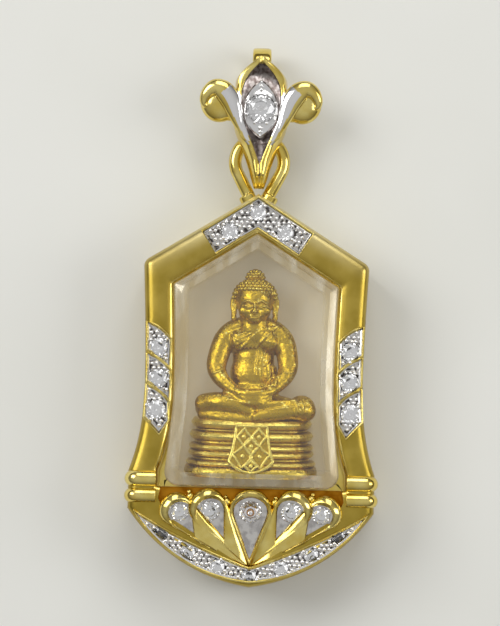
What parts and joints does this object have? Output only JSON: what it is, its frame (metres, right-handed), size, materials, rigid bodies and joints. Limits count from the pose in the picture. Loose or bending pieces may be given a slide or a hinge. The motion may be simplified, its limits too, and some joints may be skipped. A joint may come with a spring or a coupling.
{
  "type": "thai buddha amulet pendant",
  "caption": "Gold amulet pendant with a cast seated Buddha figure sealed in a clear case, framed by gem-set bands, a fan of petals and a hinged fleur bail.",
  "frame": {"origin": "centre of the bounding box in X and Y, on the plane of the back rim that the pendant lies on", "axes": "+X across the pendant to the viewer's right, +Y from the keel towards the bail, +Z out of the face"},
  "size_m": [0.024, 0.0514, 0.0087],
  "materials": {
    "gold": "yellow gold, polished with satin bands",
    "rhodium": "white rhodium plating, polished and bright-cut",
    "diamond": "brilliant-cut clear stones",
    "acrylic": "clear polished acrylic",
    "figure_gold": "warm cast gold, worn bright on its high spots"
  },
  "bodies": {
    "frame": {"frame": "gold", "setting_chevron": "rhodium", "setting_crescent": "rhodium", "setting_left_1": "rhodium", "setting_left_2": "rhodium", "setting_left_3": "rhodium", "setting_right_1": "rhodium", "setting_right_2": "rhodium", "setting_right_3": "rhodium", "setting_petal_1": "rhodium", "setting_petal_2": "rhodium", "setting_petal_3": "rhodium", "setting_petal_4": "rhodium", "setting_petal_5": "rhodium", "case_front": "acrylic", "case_back": "acrylic", "figure": "figure_gold", "stone_chevron_1": "diamond", "stone_chevron_2": "diamond", "stone_chevron_3": "diamond", "stone_left_1": "diamond", "stone_left_2": "diamond", "stone_left_3": "diamond", "stone_right_1": "diamond", "stone_right_2": "diamond", "stone_right_3": "diamond", "stone_petal_1": "diamond", "stone_petal_2": "diamond", "stone_petal_3": "diamond", "stone_petal_4": "diamond", "stone_petal_5": "diamond", "stone_crescent_1": "diamond", "stone_crescent_2": "diamond", "stone_crescent_3": "diamond", "stone_crescent_4": "diamond", "stone_crescent_5": "diamond", "stone_crescent_6": "diamond", "stone_crescent_7": "diamond"},
    "bail": {"bail": "gold", "bail_setting": "rhodium", "stone_bail": "diamond"}
  },
  "joints": [
    {"name": "bail_swing", "type": "hinge", "parent": "frame", "child": "bail", "pos_m": [0, 0.01568, 0.00325], "axis": [1, 0, 0], "range_deg": [0, 90]}
  ]
}
